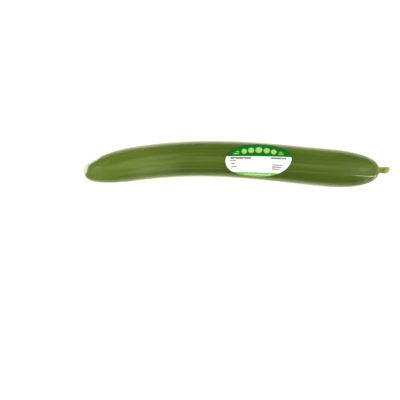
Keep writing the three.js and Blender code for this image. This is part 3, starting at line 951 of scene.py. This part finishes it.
class MakeStem(Operator):
    """Makes the stub of the stem: five soft ridges and a slanting, dished cut"""

    bl_idname = "cucumber.make_stem"
    bl_label = "Make Stem"

    def execute(self, context):
        look = context.scene.cucumber_stem
        cut_slope = np.array([math.cos(CUT_TURN), -math.sin(CUT_TURN), math.tan(CUT_TILT)])
        cut_normal = cut_slope * math.cos(CUT_TILT)
        share = np.linspace(0, 1, STEM_RINGS + 1)[:, None]
        turn = angles(STEM_SIDES)[None, :]
        origin, tangent, side = station(mix(NECK_END + GAP, SPINE_LENGTH, share))
        origin = origin + (side * STEM_BEND - np.array([0, 0, STEM_DROOP])) * (share**2)[..., None]
        foot, halfway, end = STEM_RADII
        radius = mix(mix(foot, halfway, smooth(0, 0.5, share)), end, smooth(0.5, 1, share))
        ridge = np.cos(STEM_RIDGES * turn)
        points = on_section(origin, side, radius + look.ridge_height * ridge, turn)
        short = ((origin - points) @ cut_normal) / (tangent @ cut_normal)
        points = points + tangent * (short * share)[..., None]

        middle = points[-1].mean(0)
        reach = np.linspace(1, 0, CUT_RINGS + 1)[1:-1][:, None, None]
        rim_softness = CUT_RIM * look.dish
        cut = mix(middle, points[-1][None], reach) + cut_normal * (rim_softness - look.dish * (1 - reach**3))
        rings = np.concatenate([points, cut])
        on_stem, on_cut = np.ones(points.shape[:2]), np.ones(cut.shape[:2])
        cut_share = np.concatenate([0 * on_stem, on_cut])
        cut_share[STEM_RINGS] = 0.5
        offset = rings - middle
        place = np.stack([offset @ tangent[-1, 0], offset @ side[-1, 0], offset[..., 2]], axis=-1)
        piece = loft(
            "cucumber_stem",
            rings,
            points[0].mean(0),
            middle - cut_normal * (look.dish - rim_softness),
            ridge=(np.concatenate([ridge * on_stem, 0 * on_cut]) / 2 + 0.5, 0.5, 0.5),
            reach=(np.concatenate([on_stem, reach[..., 0] * on_cut]), 1, 0),
            cut=(cut_share, 0, 1),
            straight=(place, place[0].mean(0), ORIGIN),
        )
        finish_piece(piece, stem_material(look), "stem", "stem")
        return {"FINISHED"}


class MakeFilm(Operator):
    """Makes the shrunk film: its sleeve, its crimped tail, a crease at each end and the seam between them"""

    bl_idname = "cucumber.make_film"
    bl_label = "Make Film"

    def execute(self, context):
        look = context.scene.cucumber_film
        folded = film_material("cucumber_film_folded", look, gathered=True)
        finish_piece(sleeve(look), film_material("cucumber_film", look), "film", "film")
        finish_piece(tail(look), folded, "film")
        tree = fold_tree()
        # Name, path, how milky it is, radius, where it is highest, how blunt its ends are and how wavy it is.
        for name, path, milky, *shape in (
            ("cucumber_fold_blossom", crease(BLOSSOM_CREASE), 0.3, look.fine_fold, BLOSSOM_CREST, 1.0, 0.3),
            ("cucumber_fold_stem", stem_crease(), 0.6, look.fold, STEM_CREST, 1.0, 1.6),
            ("cucumber_seam", seam(), 0.08, look.seam, 0.5, 8.0, 0.3),
        ):
            values = dict(zip(("Radius", "Highest", "Bluntness", "Waviness"), shape))
            piece = dress_with_tree(new_path(name, above(*path, FILM_OUTSIDE)), tree, values)
            places = np.array([vertex.co for vertex in piece.data.vertices])
            give_values(piece.data, milky=np.full(len(places), milky), straight=places)
            finish_piece(piece, folded, "film")
        return {"FINISHED"}


def sleeve(look):
    rim = FRUIT_LENGTH + FILM_REACH
    along = spread_rings(FILM_RINGS, rim)[:, None]
    turn = angles(FILM_SIDES)[None, :]
    bunched = bunching(along, turn)
    folds = np.cos(CAP_PLEATS * turn + swaying(CAP_PLEAT_SWAY, turn))
    crests = 0.5 + 0.5 * folds
    pleats = look.pleat_depth * bunched * crests
    thinned = (FILM_THICKNESS - look.lip) * smooth(FRUIT_LENGTH - 1 * MM, rim, along)
    shoulder = towards_neck(*SHOULDER_ZONE, along)
    collar = towards_neck(*COLLAR_ZONE, along)
    blossom = smooth(*BLOSSOM_ZONE, along / MM)
    slack = smooth(*SLACK_ZONE, along / MM)
    underside = smooth(*UNDERSIDE, np.degrees(half_turned(turn)))
    crumpled = (SHOULDER_CRUMPLE + UNDERSIDE_CRUMPLE * underside) * shoulder
    crumpled = crumpled + COLLAR_CRUMPLE * collar * (1 - underside)
    crumpled = crumpled + BLOSSOM_CRUMPLE * blossom - SLACK_GLOSS * slack
    gathered = look.bunching * bunched * mix(PLEAT_MILK, 1, folds)
    return double_sheet(
        "cucumber_film",
        above(along, turn, FILM_OUTSIDE - pleats - thinned, 0),
        above(along, turn, GAP, FILM_THICKNESS),
        above(0, 0, [FILM_OUTSIDE, GAP]),
        straight=(straightened(along, turn), ORIGIN),
        milky=(np.maximum(gathered, look.wisps * slack * crests), look.bunching),
        pucker=(shoulder + 0.4 * blossom, 0),
        crumpled=(crumpled, 0),
        sheen=(painted_sheen_mask(along, turn), 0),
        rucked=(rucking(along, turn), 0),
    )


def swaying(sway, turn):
    reach, times = sway
    return reach * np.sin(times * turn)


def bunching(along, turn):
    """1 where the film is bunched and milky beside the tail, and 0 elsewhere."""
    cap = CAP_TURN * (1 - np.sqrt(np.minimum(along / CAP_REACH, 1))) ** CAP_POWER
    half_width = np.maximum(cap, CAP_BAND * smooth(*CAP_BAND_END, along))
    ragged = CAP_RAGS * np.sin(TAU * along / CAP_RAG_RUN + swaying(CAP_RAG_SWAY, turn))
    into_cap = (half_width - abs(half_turned(turn - TAIL_TURN))) * mould_radius(along) + ragged
    return smooth(*CAP_EDGE, into_cap) * smooth(*CAP_END, along)


def over_crease(along, turn):
    """How far above the crease at the shoulder a point is, round the fruit."""
    crease_along, crease_turn = stem_crease()
    return (turn - np.interp(along, crease_along, crease_turn)) * mould_radius(along)


def painted_sheen_mask(along, turn):
    """Painted sheen that whitens the sleeve: over its ribbed shoulder down to the crease, partly the real
    milkiness of the ribs, and in streaks.
    """
    shoulder = towards_neck(*RIB_ZONE, along) * (1 - 0.5 * towards_neck(*RIB_FADE, along))
    shoulder = shoulder * smooth(*RIB_FOOT, over_crease(along, turn)) * smooth(*RIB_TOP, np.degrees(turn))
    streaks = 0
    for (start, start_turn), (end, end_turn), width, strength in SHEEN_STREAKS:
        share = (along / MM - start) / (end - start)
        off = np.degrees(half_turned(turn)) - mix(start_turn, end_turn, np.clip(share, 0, 1))
        faded = strength * smooth(-0.15, 0.3, share) * smooth(1.15, 0.7, share)
        streaks += faded * np.exp(-((off / width) ** 2))
    return 0.5 * shoulder + streaks


def rucking(along, turn):
    """Where the sleeve is rucked up crosswise: over the shoulder's end, below the crease."""
    below = smooth(*RUCK_TOP, over_crease(along, turn))
    return below * smooth(*RUCK_FOOT, np.degrees(half_turned(turn))) * towards_neck(*RUCK_ZONE, along)


def tail(look):
    step = np.linspace(0, 1, FOLD_STEPS + 1)[:, None]
    rise = np.linspace(0, 1, TAIL_ROWS + 1)[None, :]
    along = TAIL_REACH * step**2
    turn = TAIL_TURN + TAIL_RUFFLE * step * np.sin(TAIL_RUFFLES * step)
    height = TAIL_HEIGHT * smooth(-0.05, 0.3, step) * smooth(1, 0.45, step)
    lift = mix(-FOLD_SINK, height, rise)[..., None]
    points = above(along, turn, FILM_OUTSIDE) + mould_normal(along, turn) * lift
    step, rise, milky = grids(step, rise, look.bunching)
    faces = quads(np.arange(step.size).reshape(step.shape))
    points = points.reshape(-1, 3)
    piece = new_piece("cucumber_film_tail", points, faces, step=step, rise=rise, milky=milky, straight=points)
    values = {"Crimps": float(look.crimps), "Depth": look.crimp_depth}
    return dress_with_tree(piece, crimp_tree(), values, wall=TAIL_WALL)


def crease(ends, start=0.0):
    (near, near_turn), (far, far_turn), power = ends
    share = np.linspace(0, 1, FOLD_STEPS + 1)
    return start + mix(near, far, share) * MM, np.radians(mix(near_turn, far_turn, share**power))


def stem_crease():
    return crease(STEM_CREASE, FRUIT_LENGTH)


def seam():
    start, end = SEAM_PLACES[0][0], SEAM_PLACES[-1][0]
    places = np.arange(start, end + 1)
    rough = np.pad(np.interp(places, *np.transpose(SEAM_PLACES)), SEAM_SOFTNESS // 2, "edge")
    softened = np.convolve(rough, np.ones(SEAM_SOFTNESS) / SEAM_SOFTNESS, "valid")
    along = np.linspace(start, end, 2 * FOLD_STEPS + 1)
    return along * MM, np.radians(np.interp(along, places, softened))


class MakeLabel(Operator):
    """Makes the oval label, wrapped on the film"""

    bl_idname = "cucumber.make_label"
    bl_label = "Make Label"

    def execute(self, context):
        look = context.scene.cucumber_label
        under = FILM_OUTSIDE + GAP
        over = under + LABEL_THICKNESS
        reach = np.linspace(0, 1, LABEL_RINGS + 1)[1:][:, None]
        bearing = TAU * (np.arange(LABEL_SIDES) + 1)[None, :] / LABEL_SIDES
        lengthwise = reach * LABEL_LENGTH / 2 * np.cos(bearing)
        around = reach * LABEL_WIDTH / 2 * np.sin(bearing)
        (along, arc), (across, up) = (
            (lengthwise * cos - around * sin, lengthwise * sin + around * cos)
            for cos, sin in ((math.cos(tilt), math.sin(tilt)) for tilt in (LABEL_TILT, -PRINT_TILT))
        )
        along = LABEL_ALONG + along
        turn = LABEL_TURN + arc / (mould_radius(LABEL_ALONG) + under)
        piece = double_sheet(
            "cucumber_label",
            above(along, turn, over),
            above(along, turn, under),
            above(LABEL_ALONG, LABEL_TURN, [over, under]),
            print=(np.stack([across, up, 0 * up], axis=-1), ORIGIN),
            straight=(straightened(along, turn), straightened(LABEL_ALONG, LABEL_TURN)),
        )
        finish_piece(piece, label_material(look), "label", "label")
        return {"FINISHED"}


class MakeStage(Operator):
    """Makes the table, the soft light and the camera"""

    bl_idname = "cucumber.make_stage"
    bl_label = "Make Stage"

    def execute(self, context):
        look = context.scene.cucumber_stage
        half = look.floor_size
        corners = [(-half, -half, 0), (half, -half, 0), (half, half, 0), (-half, half, 0)]
        table = new_piece("table", corners, [(0, 1, 2, 3)])
        table.data.materials.append(table_material(look))
        light_room(context.scene)
        for name, place, size, power in SOFT_BOXES:
            soft_box(name, place, size, power)
        context.scene.view_settings.view_transform = "Standard"

        camera = bpy.data.cameras.new("camera")
        camera.lens = 50
        camera.sensor_width = 36
        camera.clip_start = 0.01
        holder = linked("camera", camera)
        holder.location = (*(CAMERA_PLACE[:2] - CENTRE), CAMERA_PLACE[2])
        holder.rotation_euler = (math.radians(90 - CAMERA_PITCH), 0, 0)
        context.scene.camera = holder
        return {"FINISHED"}


def light_room(scene):
    """A pale room: white round the table, and dimmer overhead."""
    scene.world, nodes = emptied(bpy.data.worlds.new("room"))
    right, back, up = nodes.numbers(nodes.add("SeparateXYZ", nodes.add("TexCoord")["Generated"]))
    walls = back.ramp(0.0, 0.7, 1.0, BACK_WALL) * right.ramp(-0.2, -0.8, 1.0, LEFT_WALL)
    strength = up.ramp(WHITE_UP_TO - 0.06, WHITE_UP_TO + 0.06, 1.0, CEILING) * walls
    nodes.add("OutputWorld", nodes.add("Background", {"Color": WHITE, "Strength": strength})[0])


def soft_box(name, place, size, power):
    """An area light that faces the fruit."""
    light = bpy.data.lights.new(name, "AREA")
    light.shape = "RECTANGLE"
    light.size, light.size_y = size
    light.energy = power
    holder = linked(name, light)
    holder.location = place
    holder.rotation_euler = (-Vector(place)).to_track_quat("-Z", "Y").to_euler()


# ---- panel and registration
SETTINGS = {
    "cucumber_fruit": FruitSettings,
    "cucumber_stem": StemSettings,
    "cucumber_film": FilmSettings,
    "cucumber_label": LabelSettings,
    "cucumber_stage": StageSettings,
}
OPERATORS = (MakeFruit, MakeStem, MakeFilm, MakeLabel, MakeStage)


class CucumberPanel(Panel):
    """Lists the steps and their settings"""

    bl_label = "Wrapped Cucumber"
    bl_idname = "VIEW3D_PT_cucumber"
    bl_space_type = "VIEW_3D"
    bl_region_type = "UI"
    bl_category = "Cucumber"

    def draw(self, context):
        for (name, group), operator in zip(SETTINGS.items(), OPERATORS):
            box = self.layout.box()
            box.operator(operator.bl_idname)
            for key in group.__annotations__:
                box.prop(getattr(context.scene, name), key)


def register():
    for each in (*SETTINGS.values(), *OPERATORS, CucumberPanel):
        bpy.utils.register_class(each)
    for name, group in SETTINGS.items():
        setattr(bpy.types.Scene, name, PointerProperty(type=group))


def unregister():
    for name in SETTINGS:
        delattr(bpy.types.Scene, name)
    for each in reversed((*SETTINGS.values(), *OPERATORS, CucumberPanel)):
        bpy.utils.unregister_class(each)


def main():
    register()
    bpy.ops.cucumber.make_stage()
    bpy.ops.cucumber.make_fruit()
    bpy.ops.cucumber.make_stem()
    bpy.ops.cucumber.make_film()
    bpy.ops.cucumber.make_label()


if __name__ == "__main__":
    main()
